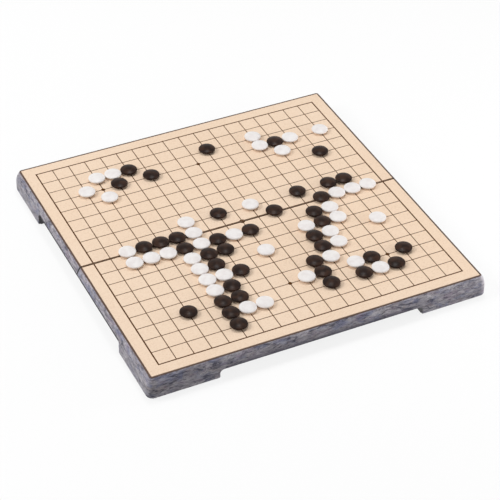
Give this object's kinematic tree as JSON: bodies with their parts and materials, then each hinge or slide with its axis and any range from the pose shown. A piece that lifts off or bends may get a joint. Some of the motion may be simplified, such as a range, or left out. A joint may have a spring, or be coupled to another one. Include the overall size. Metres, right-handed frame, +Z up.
{
  "type": "folding go board",
  "caption": "Folding magnetic go board on corner feet, with a stone drawer in each half and a game in play on its grid.",
  "frame": {"origin": "on the table, under the middle of the fold line", "axes": "+Z up, +X along the fold towards the drawer fronts, +Y from the front half to the back half"},
  "size_m": [0.371, 0.3732, 0.0311],
  "materials": {
    "back_shell": "satin, marbled grey, mauve and blue-grey",
    "back_base_cover": "fine matt texture",
    "back_steel_plate": "plain sheet",
    "back_playing_sheet": "fine matt texture",
    "back_left_foot_block": "satin, marbled grey, mauve and blue-grey",
    "back_right_foot_block": "satin, marbled grey, mauve and blue-grey",
    "back_rubber_pads": "matt",
    "back_closing_magnets": "bright nickel plate",
    "back_base_screws": "zinc plated",
    "back_drawer_runner": "smooth matt",
    "back_drawer_tray": "smooth matt",
    "back_drawer_front": "satin, marbled grey, mauve and blue-grey",
    "back_black_stones": "satin",
    "back_white_stones": "satin",
    "back_stone_magnets": "bright nickel plate",
    "front_shell": "satin, marbled grey, mauve and blue-grey",
    "front_base_cover": "fine matt texture",
    "front_steel_plate": "plain sheet",
    "front_playing_sheet": "fine matt texture",
    "front_left_foot_block": "satin, marbled grey, mauve and blue-grey",
    "front_right_foot_block": "satin, marbled grey, mauve and blue-grey",
    "front_rubber_pads": "matt",
    "front_closing_magnets": "bright nickel plate",
    "front_base_screws": "zinc plated",
    "front_drawer_runner": "smooth matt",
    "front_drawer_tray": "smooth matt",
    "front_drawer_front": "satin, marbled grey, mauve and blue-grey",
    "front_black_stones": "satin",
    "front_white_stones": "satin",
    "front_stone_magnets": "bright nickel plate",
    "stored_black_stones": "satin",
    "stored_white_stones": "satin",
    "stored_black_magnets": "bright nickel plate",
    "stored_white_magnets": "bright nickel plate",
    "left_hinge_pin": "plain",
    "right_hinge_pin": "plain"
  },
  "bodies": {
    "back_half": {"back_shell": "back_shell", "back_base_cover": "back_base_cover", "back_steel_plate": "back_steel_plate", "back_playing_sheet": "back_playing_sheet", "back_left_foot_block": "back_left_foot_block", "back_right_foot_block": "back_right_foot_block", "back_rubber_pads": "back_rubber_pads", "back_closing_magnets": "back_closing_magnets", "back_base_screws": "back_base_screws", "back_drawer_runner": "back_drawer_runner", "back_black_stones": "back_black_stones", "back_white_stones": "back_white_stones", "back_stone_magnets": "back_stone_magnets", "left_hinge_pin": "left_hinge_pin", "right_hinge_pin": "right_hinge_pin"},
    "front_half": {"front_shell": "front_shell", "front_base_cover": "front_base_cover", "front_steel_plate": "front_steel_plate", "front_playing_sheet": "front_playing_sheet", "front_left_foot_block": "front_left_foot_block", "front_right_foot_block": "front_right_foot_block", "front_rubber_pads": "front_rubber_pads", "front_closing_magnets": "front_closing_magnets", "front_base_screws": "front_base_screws", "front_drawer_runner": "front_drawer_runner", "front_black_stones": "front_black_stones", "front_white_stones": "front_white_stones", "front_stone_magnets": "front_stone_magnets"},
    "back_drawer": {"back_drawer_tray": "back_drawer_tray", "back_drawer_front": "back_drawer_front", "stored_black_stones": "stored_black_stones", "stored_black_magnets": "stored_black_magnets"},
    "front_drawer": {"front_drawer_tray": "front_drawer_tray", "front_drawer_front": "front_drawer_front", "stored_white_stones": "stored_white_stones", "stored_white_magnets": "stored_white_magnets"}
  },
  "joints": [
    {"name": "fold_hinge", "type": "hinge", "parent": "back_half", "child": "front_half", "pos_m": [0, 0, 0.0025], "axis": [1, 0, 0], "range_deg": [0, 180]},
    {"name": "back_drawer_slide", "type": "slide", "parent": "back_half", "child": "back_drawer", "axis": [1, 0, 0], "range_m": [0, 0.275]},
    {"name": "front_drawer_slide", "type": "slide", "parent": "front_half", "child": "front_drawer", "axis": [1, 0, 0], "range_m": [0, 0.275]}
  ]
}
